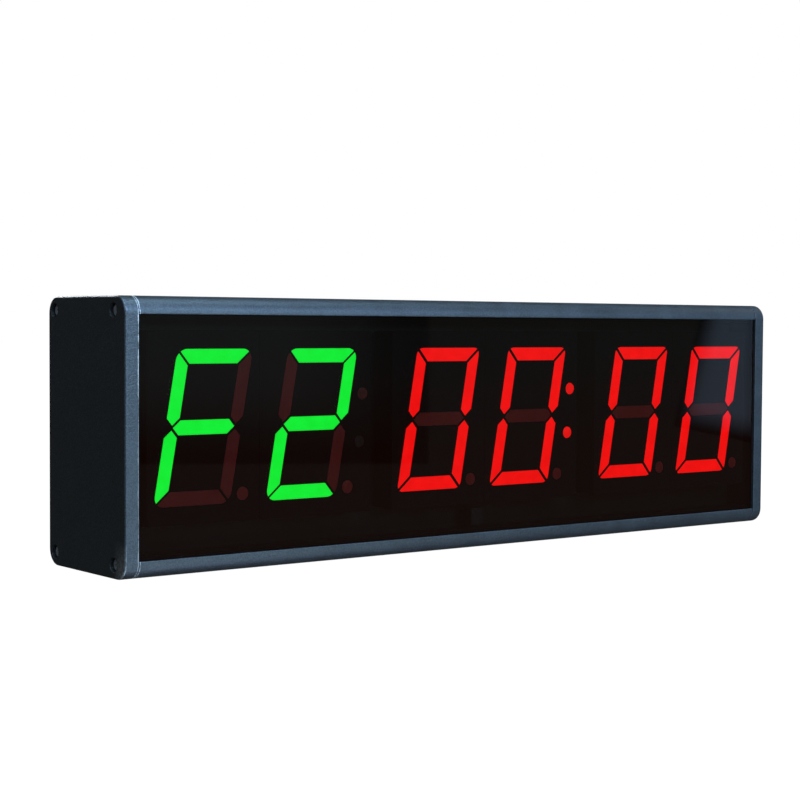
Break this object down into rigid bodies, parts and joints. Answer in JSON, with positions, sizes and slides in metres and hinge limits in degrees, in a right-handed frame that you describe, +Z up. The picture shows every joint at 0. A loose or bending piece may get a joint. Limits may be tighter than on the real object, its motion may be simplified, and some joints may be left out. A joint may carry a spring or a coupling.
{
  "type": "gym round timer",
  "caption": "Wall-hung interval timer in a long extruded housing, with a dark window over slanted seven-segment digits and colons, flat end caps and sliding keyhole hangers.",
  "frame": {"origin": "middle of the flat bottom face, halfway across the width and the depth", "axes": "+Z up, +X to the right for someone reading the display, front window facing -Y"},
  "size_m": [0.333, 0.058, 0.1],
  "materials": {
    "housing_paint": "satin powder coat, dark slate",
    "black_steel": "black oxide",
    "dark_window": "polished dark tinted acrylic",
    "circuit_board": "solder mask over woven glass laminate",
    "digit_shell": "moulded, matt black face",
    "green_resin": "lit diffusing resin",
    "red_resin": "lit diffusing resin",
    "lamp_resin": "unlit red diffusing resin",
    "lit_lamp_resin": "lit red diffusing resin",
    "zinc_steel": "zinc plated",
    "switch_plastic": "moulded black",
    "component_black": "moulded epoxy",
    "connector_plastic": "natural nylon",
    "red_lead": "soft insulation",
    "black_lead": "soft insulation"
  },
  "bodies": {
    "case": {"main_housing": "housing_paint", "left_end_cap": "housing_paint", "right_end_cap": "housing_paint", "left_cap_screw_lower_front": "black_steel", "left_cap_screw_lower_back": "black_steel", "left_cap_screw_upper_front": "black_steel", "left_cap_screw_upper_back": "black_steel", "right_cap_screw_lower_front": "black_steel", "right_cap_screw_lower_back": "black_steel", "right_cap_screw_upper_front": "black_steel", "right_cap_screw_upper_back": "black_steel", "front_window": "dark_window", "display_board": "circuit_board", "digit_1_reflector": "digit_shell", "digit_2_reflector": "digit_shell", "digit_3_reflector": "digit_shell", "digit_4_reflector": "digit_shell", "digit_5_reflector": "digit_shell", "digit_6_reflector": "digit_shell", "digit_1_segments": "green_resin", "digit_2_segments": "green_resin", "digit_3_segments": "red_resin", "digit_4_segments": "red_resin", "digit_5_segments": "red_resin", "digit_6_segments": "red_resin", "left_colon_upper_lens": "lamp_resin", "left_colon_lower_lens": "lamp_resin", "right_colon_upper_lens": "lit_lamp_resin", "right_colon_lower_lens": "lit_lamp_resin", "dc_jack_nut": "zinc_steel", "dc_jack_pin": "zinc_steel", "clock_crystal": "zinc_steel", "coin_cell": "zinc_steel", "rocker_switch_body": "switch_plastic", "dc_jack": "switch_plastic", "microcontroller": "component_black", "upper_driver_chip": "component_black", "lower_driver_chip": "component_black", "voltage_regulator": "component_black", "smoothing_capacitor": "component_black", "buzzer": "component_black", "coin_cell_holder": "component_black", "ir_receiver": "component_black", "power_connector": "connector_plastic", "jack_to_switch_lead": "red_lead", "switch_to_board_lead": "red_lead", "jack_to_board_lead": "black_lead"},
    "rocker": {"rocker": "switch_plastic"},
    "left_hanger": {"left_wall_hanger": "zinc_steel"},
    "right_hanger": {"right_wall_hanger": "zinc_steel"}
  },
  "joints": [
    {"name": "rocker_tilt", "type": "hinge", "parent": "case", "child": "rocker", "pos_m": [0.1624, 0.005, 0.0415], "axis": [0, 1, 0], "range_deg": [-22, 0]},
    {"name": "left_hanger_slide", "type": "slide", "parent": "case", "child": "left_hanger", "axis": [1, 0, 0], "range_m": [-0.033, 0.0925]},
    {"name": "right_hanger_slide", "type": "slide", "parent": "case", "child": "right_hanger", "axis": [1, 0, 0], "range_m": [-0.0925, 0.033]}
  ]
}
